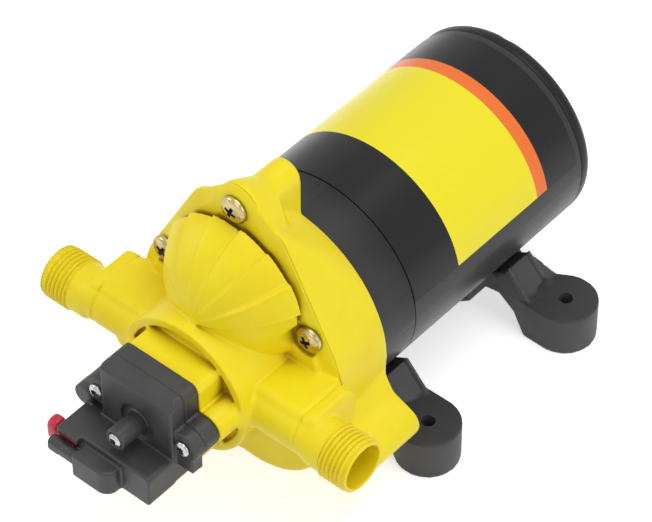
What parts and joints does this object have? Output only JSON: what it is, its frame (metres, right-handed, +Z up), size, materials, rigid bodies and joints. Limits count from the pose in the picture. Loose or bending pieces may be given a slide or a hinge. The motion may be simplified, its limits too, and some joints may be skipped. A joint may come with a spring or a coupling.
{
  "type": "diaphragm water pump",
  "caption": "Twelve volt diaphragm water pump for a caravan, with a yellow pump head, two threaded ports, pressure switch, black motor and four feet.",
  "frame": {"origin": "middle of the four foot holes, on the mounting face", "axes": "+Z up from the mounting face, +Y along the motor axis from pump head to motor end, +X towards the outlet port"},
  "size_m": [0.142, 0.22, 0.1282],
  "materials": {
    "yellow_plastic": "satin",
    "black_paint": "satin",
    "black_plastic": "matte",
    "grey_rubber": "matte",
    "yellow_zinc": "satin",
    "steel": "satin",
    "seal_rubber": "matte",
    "white_plastic": "matte",
    "ferrite": "matte",
    "core_steel": "satin",
    "copper": "satin",
    "bronze": "satin",
    "fibre": "matte",
    "carbon": "matte",
    "label_film": "gloss",
    "red_plastic": "satin"
  },
  "bodies": {
    "pump": {"front_head": "yellow_plastic", "head_screws": "yellow_zinc", "head_seal": "seal_rubber", "valve_plate": "black_plastic", "outlet_valve": "seal_rubber", "inlet_valves": "seal_rubber", "diaphragm": "seal_rubber", "drive_housing": "yellow_plastic", "front_bell": "black_paint", "bell_screws": "steel", "front_bearing_outer": "steel", "front_bearing_balls": "steel", "motor_can": "black_paint", "rear_cap": "black_paint", "rear_bushing": "bronze", "magnets": "ferrite", "brush_plate": "fibre", "brushes": "carbon", "brush_springs": "steel", "through_bolts": "steel", "motor_label": "label_film", "front_mount": "grey_rubber", "rear_mount": "grey_rubber", "mount_screws": "steel", "switch_base": "black_plastic", "switch_cover": "black_plastic", "switch_screws": "steel", "switch_spring": "steel", "pressure_diaphragm": "seal_rubber", "microswitch": "black_plastic", "terminals": "yellow_zinc", "terminal_sleeve": "red_plastic", "dark_sleeve": "black_plastic"},
    "rotor": {"shaft": "steel", "armature_core": "core_steel", "windings": "copper", "commutator": "copper", "cam_hub": "steel", "cam_bearing_inner": "steel", "cam_bearing_balls": "steel", "front_bearing_inner": "steel"},
    "wobbler": {"wobble_plate": "white_plastic", "cam_bearing_outer": "steel", "diaphragm_cups": "seal_rubber", "piston_pads": "white_plastic", "piston_screws": "steel"},
    "adjuster": {"adjust_screw": "steel"},
    "nut": {"spring_nut": "yellow_zinc"},
    "plunger": {"plunger": "white_plastic", "microswitch_button": "red_plastic"}
  },
  "joints": [
    {"name": "rotor_spin", "type": "hinge", "parent": "pump", "child": "rotor", "pos_m": [0, 0, 0.054], "axis": [0, 1, 0], "continuous": true},
    {"name": "wobble_rock", "type": "hinge", "parent": "rotor", "child": "wobbler", "pos_m": [0, -0.0625, 0.054], "axis": [0, 0.9976, 0.0698], "continuous": true},
    {"name": "nut_travel", "type": "slide", "parent": "pump", "child": "nut", "axis": [0, 1, 0], "range_m": [0, 0.001]},
    {"name": "adjust_turn", "type": "hinge", "parent": "pump", "child": "adjuster", "pos_m": [0, -0.1395, 0.0555], "axis": [0, 1, 0], "range_deg": [0, 720]},
    {"name": "plunger_slide", "type": "slide", "parent": "pump", "child": "plunger", "axis": [0, -1, 0], "range_m": [0, 0.0012], "stiffness_N_per_m": 4000, "deforming": ["switch_spring"]}
  ],
  "couplings": [
    {"joint": "wobble_rock", "follows": "rotor_spin", "ratio": -1},
    {"joint": "adjust_turn", "follows": "nut_travel", "rad_per_m": 8976}
  ]
}
